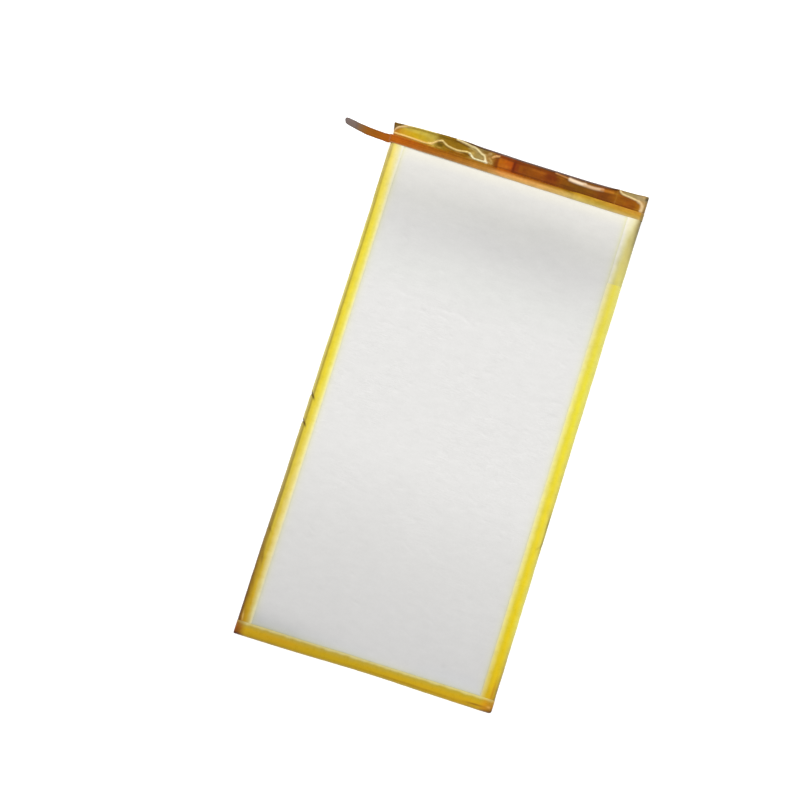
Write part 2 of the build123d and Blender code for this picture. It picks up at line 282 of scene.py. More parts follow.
class Surface:
    """A Principled material with short calls for the nodes that feed it."""

    def __init__(self, name, roughness=0.5, metallic=0.0, specular=0.5):
        self.material = bpy.data.materials.new(name)
        self.material.use_nodes = True
        self.tree = self.material.node_tree
        self.tree.nodes.clear()
        self.shader = self.tree.nodes.new("ShaderNodeBsdfPrincipled")
        out = self.tree.nodes.new("ShaderNodeOutputMaterial")
        self.tree.links.new(self.shader.outputs[0], out.inputs[0])
        self.set("Roughness", roughness)
        self.set("Metallic", metallic)
        self.set("Specular IOR Level", specular)
        self.place = self.node("ShaderNodeTexCoord").outputs["Object"]

    def node(self, kind, inputs=None, **options):
        made = self.tree.nodes.new(kind)
        for key, value in options.items():
            setattr(made, key, value)
        for key, value in (inputs or {}).items():
            self.feed(made.inputs[key], value)
        return made

    def feed(self, socket, value):
        if isinstance(value, bpy.types.NodeSocket):
            self.tree.links.new(value, socket)
        elif hasattr(value, "__len__") and len(value) == 3 and len(socket.default_value) == 4:
            socket.default_value = (*value, 1.0)
        else:
            socket.default_value = value

    def set(self, name, value):
        self.feed(self.shader.inputs[name], value)

    def stretched(self, scale):
        """Object position in millimetres, stretched along each axis."""
        factor = [s / MM for s in scale]
        mapping = self.node("ShaderNodeMapping", {"Vector": self.place, "Scale": factor})
        return mapping.outputs[0]

    def noise(self, scale, detail=3.0, stretch=(1, 1, 1), rough=0.55, distortion=0.0):
        inputs = {"Vector": self.stretched(stretch), "Scale": scale, "Detail": detail}
        inputs.update({"Roughness": rough, "Distortion": distortion})
        return self.node("ShaderNodeTexNoise", inputs).outputs[0]

    def axis(self, name):
        """One object coordinate in millimetres."""
        return self.node("ShaderNodeSeparateXYZ", {"Vector": self.stretched((1, 1, 1))}).outputs[name]

    def spread(self, value, low, high, to_low=0.0, to_high=1.0):
        """Map a range, clamped."""
        inputs = {0: value, 1: low, 2: high, 3: to_low, 4: to_high}
        return self.node("ShaderNodeMapRange", inputs).outputs[0]

    def math(self, operation, first, second=0.0):
        return self.node("ShaderNodeMath", {0: first, 1: second}, operation=operation).outputs[0]

    def times(self, first, second):
        return self.math("MULTIPLY", first, second)

    def plus(self, first, second):
        return self.math("ADD", first, second)

    def bell(self, centre, reach, blur):
        """Soft patch of height 1 about a place, its outline moved by blur."""
        total = blur
        for name, middle, length in zip("XY", centre, reach):
            part = self.times(self.plus(self.axis(name), -middle), 1 / length)
            total = self.plus(total, self.times(part, part))
        return self.math("EXPONENT", self.times(total, -1.0))

    def mix(self, factor, first, second, blend="MIX"):
        made = self.tree.nodes.new("ShaderNodeMix")
        made.data_type = "RGBA"
        made.blend_type = blend
        self.feed(made.inputs[0], factor)
        self.feed(made.inputs[6], first)
        self.feed(made.inputs[7], second)
        return made.outputs[2]

    def grey(self, value):
        return self.node("ShaderNodeCombineColor", {0: value, 1: value, 2: value}).outputs[0]

    def tinted(self):
        """Colour held by the points of the mesh."""
        return self.node("ShaderNodeAttribute", attribute_name="tint").outputs["Color"]

    def stops(self, value, stops):
        """Colour ramp over values 0 to 1."""
        made = self.node("ShaderNodeValToRGB", {0: value})
        band = made.color_ramp
        while len(band.elements) < len(stops):
            band.elements.new(1.0)
        for element, (position, tone) in zip(band.elements, stops):
            element.position = position
            element.color = (*tone, 1.0)
        return made.outputs[0]

    def bump(self, height, depth, strength=1.0):
        made = self.node("ShaderNodeBump", {"Height": height, "Distance": depth * MM, "Strength": strength})
        self.set("Normal", made.outputs[0])


def plain(name, dark, light, roughness=(0.4, 0.6), scale=2.0, stretch=(1, 1, 1), depth=0.01, metallic=0.0):
    """Two-tone grained surface used for small and hidden pieces."""
    s = Surface(name, metallic=metallic)
    grain = s.noise(scale, 4, stretch)
    s.set("Base Color", s.mix(s.spread(grain, 0.3, 0.7), dark, light))
    s.set("Roughness", s.spread(grain, 0.3, 0.7, roughness[0], roughness[1]))
    s.bump(s.noise(scale * 4, 3, stretch), depth)
    return s.material


face_tone_and_painted_light = [
    # place along the cup from its foot to its head, colour: the foil's tone with painted reflection, brighter and
    # warmer toward the lip, darker in a band below it and toward the foot
    (0, (207, 209, 212)), (0.05, (212, 211, 210)), (0.22, (221, 220, 218)), (0.4, (233, 232, 230)),
    (0.68, (232, 231, 229)), (0.74, (227, 227, 224)), (0.83, (217, 216, 214)), (0.88, (216, 215, 211)),
    (0.936, (229, 227, 222)), (0.948, (237, 234, 224)), (0.961, (245, 241, 227)), (0.97, (250, 247, 232)),
    (0.976, (252, 248, 230)), (0.983, (255, 243, 212)), (1, (255, 236, 190)),
]


def pouch_film(name, shaded=False):
    """Satin silver-white laminate: painted light and shade along the cell standing for its reflections, mottling
    and hair-fine creases.
    """
    s = Surface(name, roughness=0.42, metallic=0.1, specular=0.35)
    along = s.axis("Y")
    cloud = s.math("SUBTRACT", s.noise(0.05, 3), 0.5)
    calm = s.spread(along, 58, 71, 0.07, 0.01)
    wavy = s.plus(s.spread(along, cup_low.y, cup_high.y), s.times(cloud, calm))
    tone = s.stops(wavy, [(place, reflectance(colour)) for place, colour in face_tone_and_painted_light])
    # painted shade from a reflection: broad darker band below the lip, strongest right of the middle
    swell = s.bell((9, 56.5), (34, 10), cloud)
    tone = s.mix(s.times(swell, 0.15), tone, (0.3, 0.3, 0.29))
    # shadow that gathers along the bottom tape toward the left
    gather = s.bell((-34, -77), (19, 4.3), cloud)
    tone = s.mix(s.times(gather, 0.4), tone, (0.3, 0.31, 0.3))
    mottle = s.spread(s.noise(0.32, 4, (0.75, 1.35, 1)), 0.3, 0.7, 0.978, 1.016)
    mottle = s.times(mottle, s.spread(s.noise(1.3, 2), 0.3, 0.7, 0.988, 1.01))
    # short drawn-out dashes that come in clusters about the middle of the cell
    drawn = s.noise(0.9, 4, (0.42, 1.3, 1), 0.6, 1.1)
    clusters = s.spread(s.noise(0.11, 2), 0.42, 0.62, 0.25, 1.5)
    from_middle = s.times(along, 1 / 55.0)
    middle = s.times(s.math("EXPONENT", s.times(s.times(from_middle, from_middle), -1.0)), clusters)
    dashes = s.times(s.spread(drawn, 0.32, 0.68, -0.018, 0.018), middle)
    mottle = s.times(mottle, s.plus(dashes, 1.0))
    tone = s.mix(1.0, tone, s.grey(mottle), "MULTIPLY")
    if shaded:
        tone = s.mix(1.0, tone, s.tinted(), "MULTIPLY")
    s.set("Base Color", tone)
    s.set("Roughness", s.spread(s.noise(0.6, 4), 0.3, 0.7, 0.34, 0.5))
    s.bump(s.plus(s.noise(3, 4), s.times(drawn, s.times(middle, 5.0))), 0.012)
    return s.material


def tinted_film(name, roughness, depth, specular=0.2, coat=0.0):
    """Glossy tape film coloured point by point, with fine streaks and specks."""
    s = Surface(name, specular=specular)
    streak = s.spread(s.noise(0.8, 4), 0.25, 0.75, 0.955, 1.04)
    s.set("Base Color", s.mix(1.0, s.tinted(), s.grey(streak), "MULTIPLY"))
    s.set("Roughness", s.spread(s.noise(0.8, 4), 0.3, 0.7, *roughness))
    s.shader.inputs["Coat Weight"].default_value = coat
    s.shader.inputs["Coat Roughness"].default_value = 0.1
    s.bump(s.noise(2, 3), depth)
    return s.material


yellow = tinted_film("yellow_film", (0.24, 0.34), 0.008)
pale = tinted_film("pale_film", (0.18, 0.28), 0.01)
amber = tinted_film("amber_film", (0.12, 0.24), 0.014, 0.12)
ribbon_film = tinted_film("ribbon_film", (0.26, 0.4), 0.01, 0.12)

# --- Pouch ---

dents = [
    # x, y, radius, depth in millimetres
    (-19.5, -61, 0.9, 0.055), (22.2, -72, 0.8, 0.05), (31.5, 8.5, 1, 0.045), (9, 60, 0.9, 0.035),
    (-4.5, 55.5, 0.8, 0.035), (-28, 44, 5, 0.025), (12, -20, 6, 0.025), (23.5, -50.5, 1.2, 0.035),
]
chance = random.Random(11)
creases = [
    # x, y, half length, depth, lean: creases where the foil was pulled tight
    (-7.5, 29.6, 7, 0.06, 0), (-1.5, 28.6, 1.4, 0.07, -0.1), (-9, 27.4, 8.5, 0.05, 0),
    (-20, 31, 5, 0.04, 0), (-24, 20.5, 6, 0.045, 0), (16, 3.2, 2.6, 0.075, 0.1), (20, 2, 3, 0.06, -0.1),
    (15, -1, 5, 0.045, 0), (19.5, -8, 1.6, 0.07, 0.5), (17, -9.5, 1.8, 0.06, -0.5),
    (21, -11, 1.4, 0.06, -0.3), (13, -12.5, 7, 0.04, 0), (-16.5, 2, 2, 0.05, 0), (0.5, 16, 1.6, 0.06, -0.4),
    (8.5, 15.5, 1.5, 0.055, 0.3), (-1.5, -9, 2, 0.05, 0.4), (31, 8.5, 1.8, 0.06, 0.4),
]
for _ in range(230):
    spot = (chance.uniform(-32, 32), chance.gauss(-12, 28))
    sizes = (chance.uniform(0.5, 2.0), chance.uniform(0.02, 0.055))
    creases.append((*spot, *sizes, chance.uniform(-0.7, 0.7)))


def face_relief(x, y):
    """Small undulation of the drawn face, always at or below the flat."""
    low = -0.026 + 0.02 * ripple(x, y, 3.1, 0.035) + 0.005 * ripple(x, y * 2.2, 7.7, 0.22)
    for cx, cy, radius, depth in dents:
        low = low - depth * np.exp(-((x - cx) ** 2 + (y - cy) ** 2) / radius**2)
    worn = np.clip(0.7 + 1.1 * ripple(x, y * 0.5, 5.5, 0.8), 0.1, 1.3)
    for cx, cy, reach, depth, lean in creases:
        bow = cy + lean * (x - cx) + 0.25 * np.sin((x - cx) * 1.1 + cy)
        low = low - 0.7 * depth * worn * hump(x, cx, reach) * hump(y, bow, 0.4)
    return np.clip(low, -0.095, -0.004)


def cut_across(bm, spots, axis):
    """Cut a mesh by planes square to one axis."""
    for spot in spots:
        whole = bm.verts[:] + bm.edges[:] + bm.faces[:]
        bmesh.ops.bisect_plane(bm, geom=whole, plane_co=axis * spot, plane_no=axis)


def drawn_cup():
    """Drawn cup: rounded box cut by a fine grid so that its face can undulate."""
    base_y, under_z = low_end + 0.7, cup_low.z
    bm = bmesh.new()
    bmesh.ops.create_cube(bm, size=1.0)
    size = Vector((2 * (half_width - 0.75), step_y - base_y, face_z - under_z))
    middle = Vector((0, (step_y + base_y) / 2, (face_z + under_z) / 2))
    for vert in bm.verts:
        vert.co = Vector(vert.co[i] * size[i] for i in range(3)) + middle
    upright = [e for e in bm.edges if abs(e.verts[0].co.z - e.verts[1].co.z) > 0.1]
    bmesh.ops.bevel(bm, geom=upright, offset=1.5, segments=8, affect="EDGES", profile=0.5)
    rim = [e for e in bm.edges if all(v.co.z > face_z - 0.001 for v in e.verts)]
    bmesh.ops.bevel(bm, geom=rim, offset=1.0, segments=8, affect="EDGES", profile=0.5)
    cut_across(bm, spaced(-38.4, 38.4, 0.64), Vector((1, 0, 0)))
    cut_across(bm, spaced(base_y + 1.6, step_y - 1.6, 0.44), Vector((0, 1, 0)))
    places = np.array([tuple(v.co) for v in bm.verts])
    drop = face_relief(places[:, 0], places[:, 1]) * ease(face_z - 1, face_z, places[:, 2])
    for vert, down in zip(bm.verts, drop):
        vert.co.z += down
    bmesh.ops.recalc_face_normals(bm, faces=bm.faces)
    mesh = bpy.data.meshes.new("pouch_face")
    bm.to_mesh(mesh)
    bm.free()
    # sides of creases that face the light are a little paler, those that face away darker
    slope = face_relief(places[:, 0], places[:, 1] - 0.3) - face_relief(places[:, 0], places[:, 1] + 0.3)
    shade = np.clip(1 + 0.75 * slope, 0.9, 1.08)
    # dents painted darker too: painted shade in their hollows
    for cx, cy, radius, depth in dents:
        if radius < 2:
            away = (places[:, 0] - cx) ** 2 + (places[:, 1] - cy) ** 2
            shade -= 0.7 * depth * np.exp(-away / radius**2)
    # painted reflection: the foil beside the tapes is painted yellower, standing for the tapes reflected in it
    gap = np.minimum(half_width - 4.6 - np.abs(places[:, 0] + 0.15), places[:, 1] - low_end - 4.15)
    tape_reflection = 0.28 * np.exp(-np.maximum(gap, 0) / 0.7)
    tint_layer(mesh, np.stack([shade, shade * (1 - 0.03 * tape_reflection), shade * (1 - tape_reflection)], -1))
    return link("pouch_face", mesh)


def left_waist(y):
    """How far the left side draws in along its middle."""
    return 0.22 * ease(-56, -32, y) * ease(66, 46, y)


def back_skin():
    """Flat sheet under the cup, its sides folded up inside the tapes."""
    fold_x, fold_top = half_width - 0.62, cover_high.z - 0.3

    def section(y):
        top = film + 0.15 + (fold_top - film - 0.15) * (1 - ease(step_y - 0.4, step_y + 0.3, y))
        wide = fold_x + 0.52 * ease(step_y + 0.5, step_y + 1, y)
        left = -wide + left_waist(y)
        corners = [(left, top), (left, film * 1.1), (wide, film * 1.1), (wide, top)]
        return rounded_path(corners, [0.12, 0.12], [4, 90, 4], 3)

    y, x, z = swept(spaced(low_end + 0.75, cover_high.y - 0.3, 0.9), section)
    inside = ease(39, 36, np.abs(x)) * (z < film * 1.2)
    z = z + inside * (0.02 + 0.02 * ripple(x, y, 83, 0.05) + 0.006 * ripple(x, y, 85, 0.4))
    outer = np.stack([x, y, z], -1)
    return shell("back_skin", outer, outer - normals(outer) * 0.11)


stick(drawn_cup(), "cell", pouch_film("pouch_film", True), "pouch_laminate", "pouch_cup")
stick(back_skin(), "cell", pouch_film("pouch_back_film"), "pouch_laminate", "pouch_cover")

# --- Edge tapes ---

# Distance from the side of the cell for: outline, outer part, middle, shadow line, free edge. The outline is
# painted shade where the film turns down the side, the shadow line is a painted shadow and the free edge is
# painted paler as a highlight
left_marks = [0.3, 1.1, 2.3, 3.25, 3.85]
left_weave = [
    # y, then those five colours
    (-80, (92, 56, 26), (140, 84, 32), (172, 126, 34), (180, 150, 72), (204, 188, 128)),
    (-72, (104, 72, 36), (166, 128, 34), (202, 164, 44), (208, 190, 110), (222, 214, 160)),
    (-58, (124, 96, 50), (168, 136, 48), (206, 176, 62), (224, 206, 130), (228, 216, 158)),
    (-34, (172, 156, 98), (176, 154, 68), (222, 198, 82), (232, 214, 122), (242, 230, 158)),
    (0, (206, 194, 120), (198, 178, 66), (237, 215, 60), (235, 222, 92), (248, 239, 142)),
    (45, (214, 202, 116), (202, 186, 66), (240, 221, 70), (233, 222, 100), (243, 233, 150)),
    (62, (186, 172, 98), (220, 199, 80), (238, 220, 102), (234, 222, 142), (232, 225, 180)),
    (73, (196, 178, 110), (236, 214, 118), (244, 226, 144), (242, 233, 178), (242, 237, 208)),
]
right_marks = [0.0, 1.1, 2.1, 3.0, 4.1]
right_weave = [
    (-80, (90, 58, 30), (176, 134, 40), (208, 160, 30), (204, 166, 38), (214, 192, 104)),
    (-70, (164, 142, 78), (216, 188, 48), (227, 192, 22), (218, 188, 42), (222, 206, 116)),
    (-55, (218, 212, 132), (228, 212, 72), (232, 204, 36), (222, 202, 56), (234, 222, 130)),
    (-20, (194, 184, 102), (231, 214, 84), (238, 216, 54), (228, 212, 74), (239, 230, 146)),
    (15, (222, 214, 128), (231, 224, 98), (237, 225, 62), (231, 219, 76), (242, 234, 142)),
    (52, (224, 217, 136), (228, 218, 108), (226, 212, 84), (222, 209, 106), (229, 220, 160)),
]
upper_weave = [
    (52, (200, 192, 118), (218, 211, 124), (217, 206, 108), (208, 200, 128), (224, 218, 178)),
    (60, (188, 180, 112), (207, 194, 118), (211, 199, 122), (208, 201, 144), (219, 215, 190)),
    (67, (128, 118, 82), (190, 178, 116), (204, 192, 126), (220, 213, 164), (230, 226, 206)),
    (74, (88, 80, 58), (186, 170, 120), (240, 231, 184), (246, 240, 208), (250, 242, 218)),
]
bottom_marks = [0.0, 0.8, 2.2, 3.25, 3.85]
bottom_weave = [
    # x, then the same five colours
    (-40, (60, 34, 20), (120, 62, 22), (140, 80, 26), (146, 96, 40), (164, 130, 70)),
    (-38.4, (84, 56, 28), (146, 94, 34), (162, 106, 36), (160, 118, 48), (176, 148, 80)),
    (-37.6, (120, 90, 40), (170, 126, 32), (180, 136, 34), (176, 142, 56), (192, 172, 104)),
    (-36.8, (150, 126, 54), (188, 150, 28), (198, 158, 34), (184, 158, 64), (206, 192, 130)),
    (-10, (168, 146, 66), (192, 158, 28), (193, 159, 32), (186, 162, 66), (210, 198, 136)),
    (20, (170, 150, 66), (202, 164, 26), (205, 166, 32), (190, 166, 58), (218, 206, 138)),
    (35.4, (160, 132, 50), (204, 160, 24), (210, 170, 30), (194, 168, 50), (222, 208, 130)),
    (37.2, (128, 92, 40), (204, 142, 28), (213, 153, 28), (204, 156, 42), (222, 200, 112)),
    (40, (62, 42, 26), (120, 80, 34), (166, 114, 36), (178, 134, 46), (190, 160, 90)),
]

# y, grey level of the face beside a side tape
face_run = [(-78, 204), (-50, 219), (-20, 231), (30, 231), (56, 214), (66, 223), (71, 240), (73, 244)]


def tape_path(inner, side, top, turn):
    """Section of an edge tape from its free edge over the side of the cell and back under it."""
    flap = math.copysign(back_flap, inner - side)
    corners = [(inner, top), (side, top), (side, 0.0), (side + flap, 0.0)]
    return rounded_path(corners, [turn, heel], [14, 5, 12], 9)


def with_flap(tints, z, edge, along, inset, marks, weave):
    """Tape colours, with the flap under the cell in one colour of the film painted darker, as painted shade under
    the cell.
    """
    under = (z < top_z / 2) & (edge > 0.2)
    return np.where(under[..., None], woven(along, edge * 0 + inset, marks, weave) * 0.92, tints)


def side_tape(name, sign, low, high, reach, marks, weave, seed, nicks=(), streak_marks=()):
    """One folded side tape; reach is how far it lies onto the face."""

    def section(y):
        inner = half_width - reach + 0.1 * noise.noise(Vector((y * 0.09, 0.0, seed)))
        return tape_path(inner, half_width, top_z, side_turn)

    y, across, z = swept(spaced(high, low, film_grid)[::sign], section)
    edge = half_width - across
    z = np.minimum(z, top_z - 1.3 * ease(step_y - 0.25, step_y + 0.15, y))
    # a faint groove where the film turns off the flat, and soft waviness down the side
    on_face = z > top_z - 0.02
    z += on_face * (0.012 + 0.01 * ripple(across * 2, y, seed + 2, 0.5) - 0.03 * hump(edge, 3.3, 0.25))
    z -= on_face * 0.12 * ease(lip_start - 0.15, lip_start + 0.25, y)
    # its end lies under the end tape, on the face and on the back
    z -= on_face * 0.5 * ease(low_end + 1.8, low_end + 0.8, y)
    z = np.maximum(z, film * 1.1 * ease(low_end + back_flap + 0.4, low_end + back_flap + 0.1, y))
    side = ease(1.2, 0.2, edge)
    wave = 0.1 * ripple(z * 0.5, y, seed + 5, 0.1) + 0.05 * ripple(z, y, seed + 9, 0.45)
    waist = left_waist(y) if sign < 0 else 0.0
    across += side * (wave - 0.05) - ease(2.4, 0.6, edge) * waist
    for place, depth in nicks:
        pinch = depth * hump(y + (across - half_width) * 0.7, place, 0.32)
        across -= pinch * side
        z -= 0.5 * pinch * on_face * ease(2.6, 1.2, edge)
    tints = woven(y, edge + 0.25 * ripple(across, y, seed + 20, 0.6), marks, weave)
    # darker and lighter strokes across the tape
    for place, inset, length, width, tone, strength in streak_marks:
        lean = inset + (0.12 if sign < 0 else 0.01) * (place - y)
        tints = stain(tints, tone, strength * hump(y, place, length) * hump(edge, lean, width))
    if sign < 0:
        # painted shade where the left side turns down, with a painted highlight beside it
        turned = (1 + 0.35 * ripple(0, y, 87, 0.25)) * ease(-62, -44, y)
        tints = stain(tints, (120, 98, 48), 0.34 * turned * hump(edge, 0.85 + 0.15 * turned, 0.33))
        tints = stain(tints, (246, 226, 74), 0.3 * turned * hump(edge, 1.65, 0.3))
    beside = reflectance(np.stack([ramp(y, face_run)] * 3, -1))
    tints = toward(tints, beside, 0.4 * on_face * ease(reach - 0.65, reach - 0.05, edge))
    tints = with_flap(tints, z, edge, y, 2.0, marks, weave)
    # painted shade in each nick
    for place, depth in nicks:
        nick_shade = hump(y + 0.95 * edge, place + 0.5, 0.42) * ease(2.3, 1.2, edge) * min(1.0, depth * 3.5)
        tints = stain(tints, (84, 64, 36), nick_shade)
    tints = tints * (1 + 0.05 * ripple(across * 2, y, seed + 31, 0.35))[..., None]
    outer = np.stack([sign * across, y, z], -1)
    return shell(name, outer, lining(outer, film * 0.9), tints)


left_streak_marks = [
    # y, distance from the side, half length, half width, colour, strength
    (-57, 1.45, 2.4, 0.34, (128, 90, 28), 0.65),
    (-49.5, 1.2, 1.6, 0.26, (158, 122, 44), 0.5),
    (-65.5, 1.15, 1.5, 0.28, (146, 104, 30), 0.45),
    (-75.3, 1.25, 1.5, 0.22, (230, 192, 112), 0.6),
    (-70.5, 2.3, 1.6, 0.24, (168, 124, 30), 0.4),
]
right_streak_marks = [
    (-22.6, 0.34, 2.7, 0.3, (132, 118, 54), 0.85),
    (-28.4, 0.34, 3, 0.28, (140, 122, 56), 0.75),
    (-75, 1.45, 3.2, 0.3, (190, 122, 16), 0.6),
]
# y and depth of the nicks in each side
left_nicks, right_nicks = [(-6.5, 0.3), (-15, 0.34), (-48, 0.1)], [(-29.5, 0.06)]
foot, head = -80.3, step_y + 0.9
left = side_tape("left_tape", -1, foot, head, 4.4, left_marks, left_weave, 11, left_nicks, left_streak_marks)
right = side_tape(
    "right_tape", 1, foot, right_high.y, 4.75, right_marks, right_weave, 17, right_nicks, right_streak_marks
)
upper = side_tape("right_upper_tape", 1, upper_low.y, head, 4.6, right_marks, upper_weave, 23)
stick(left, "cell", yellow, "yellow_tape", "edge_tape_left")
stick(right, "cell", yellow, "yellow_tape", "edge_tape_right")
stick(upper, "cell", pale, "pale_tape", "edge_tape_right_upper")


def bottom_tape():
    """End tape over the side tapes, bowed in a little along its middle, its ends rolled down."""
    flat_end = half_width - side_turn
    straight = spaced(flat_end, -flat_end, film_grid)
    rolled = flat_end + side_turn * np.sin(np.radians(np.linspace(0, 84, 10))[1:])

    def section(x):
        inner = low_end + 4.15 + 0.1 * noise.noise(Vector((x * 0.08, 0.0, 31.0)))
        return tape_path(inner, low_end, top_z + film, side_turn + 0.02)

    x, y, z = swept(np.concatenate([rolled[::-1], straight, -rolled]), section)
    past = np.clip(np.abs(x) - flat_end, 0, side_turn)
    ceiling = top_z + film - (side_turn - np.sqrt(np.maximum(side_turn**2 - past**2, 0)))
    z = np.minimum(z, ceiling - (top_z + film - z) * 0.02)
    edge = y - low_end
    on_face = ease(top_z - 0.3, top_z, z)
    z += on_face * (0.01 * ripple(x, y * 2, 33, 0.5) - 0.03 * hump(edge, 3.05, 0.25))
    corner = np.where(x > 0, 0.9, 0.35)
    past = np.clip(np.abs(x) - (half_width - corner), 0, corner)
    rounding = corner - np.sqrt(np.maximum(corner**2 - past**2, 0))
    bow = 0.34 * hump(x, 2, 17) - 0.08 * ease(-8, -24, x) + 0.05 * ripple(x, z, 37, 0.4)
    y += ease(2.4, 0.4, edge) * bow + ease(1.9, 0.1, edge) * rounding
    tints = woven(x, edge + 0.25 * ripple(x, y, 39, 0.6), bottom_marks, bottom_weave)
    tints = with_flap(tints, z, edge, x, 1.6, bottom_marks, bottom_weave)
    # painted highlight: a lighter spot on the corner fold
    speck = hump(x, 38.6, 0.55) * hump(edge, 1.7, 0.35)
    tints = stain(tints, (236, 180, 84), 0.8 * speck)
    # darker strokes low on the right part
    stroke = hump(x, 34.6, 2.8) * hump(edge, 1.38 + 0.02 * (x - 34.6), 0.26)
    stroke += 0.5 * hump(x, 14, 16) * hump(edge, 1, 0.3)
    tints = stain(tints, (134, 88, 6), 0.8 * stroke)
    # painted shade in the fold at the left corner, and warm clouds along the film
    tints = stain(tints, (72, 40, 22), 0.75 * hump(x, -39.2, 1.2) * ease(0.9, 0.3, edge))
    cloud = 0.5 + 0.5 * ripple(x * 0.3, y, 57, 0.7)
    tints = stain(tints, (202, 140, 16), 0.45 * cloud * hump(x, -26, 5) * hump(edge, 1.9, 0.8))
    outer = np.stack([x, y, z], -1)
    return shell("bottom_tape", outer, lining(outer, film * 0.9), tints)


stick(bottom_tape(), "cell", yellow, "yellow_tape", "edge_tape_bottom")

# --- Terrace tape ---

rim_run = [
    # x, distance of the rim from the outer side of the CAD tape
    (-40.7, -0.8), (-38, -0.58), (-35, -0.38), (-32, -0.18), (-28, -0.04), (-24, 0.12), (-16, 0.26),
    (-12, 0.16), (-8, 0.14), (-4, 0.08), (0, -0.02), (4, 0), (10, 0.02), (16, 0.02), (22, 0.08), (28, 0.3),
    (32, 0.26), (36, 0.42), (38.5, 0.66), (40, 0.72),
]
lip_run = [
    # x, colours of the lip near its free edge, along its middle and at the step
    (-40, (176, 96, 22), (194, 102, 22), (184, 98, 14)),
    (-34, (182, 106, 46), (188, 102, 26), (182, 96, 14)),
    (-28, (162, 106, 54), (176, 104, 40), (164, 100, 34)),
    (-20, (166, 115, 60), (178, 114, 44), (162, 100, 32)),
    (-10.5, (180, 130, 66), (196, 136, 62), (168, 116, 44)),
    (-7.5, (191, 148, 90), (206, 144, 76), (150, 86, 20)),
    (-5.5, (198, 146, 87), (224, 151, 78), (184, 100, 26)),
    (-2.6, (203, 156, 92), (226, 160, 84), (168, 92, 20)),
    (6, (202, 158, 95), (225, 166, 90), (160, 96, 18)),
    (16, (197, 168, 104), (210, 175, 92), (162, 116, 32)),
    (19, (195, 173, 101), (212, 177, 86), (188, 142, 48)),
    (26, (199, 174, 98), (186, 153, 58), (194, 148, 54)),
    (32, (202, 170, 100), (190, 145, 56), (202, 146, 55)),
    (40, (196, 163, 92), (196, 152, 62), (206, 150, 62)),
]
recess_run = [
    # x, colour of the film over the pocket and the board, with a painted highlight where the film creases near the
    # right end
    (-40, (190, 120, 44)), (-37.5, (206, 160, 52)), (-33.5, (203, 166, 40)), (-30, (196, 168, 56)),
    (-27.5, (192, 164, 74)), (-26.2, (152, 122, 44)), (-22, (150, 112, 38)), (-17, (150, 112, 36)),
    (-14.6, (168, 138, 74)), (-12.4, (172, 148, 92)), (-10.4, (168, 128, 70)), (-8.8, (164, 116, 54)),
    (-7.9, (136, 80, 16)), (-7.2, (130, 70, 8)), (-6.6, (178, 100, 34)), (-2.9, (178, 86, 24)),
    (-2.2, (136, 62, 6)), (2.5, (141, 79, 14)), (6.5, (146, 80, 18)), (8.8, (130, 66, 5)),
    (11, (131, 69, 8)), (13, (138, 82, 14)), (16, (128, 82, 10)), (18.5, (122, 80, 12)),
    (22.5, (135, 86, 14)), (25.5, (128, 72, 4)), (28, (134, 78, 6)), (30.5, (151, 92, 12)),
    (34, (148, 84, 8)), (36.4, (154, 92, 14)), (37.6, (164, 104, 28)), (38.5, (188, 140, 72)),
    (39, (196, 160, 104)), (39.4, (150, 120, 74)), (40, (110, 86, 56)),
]
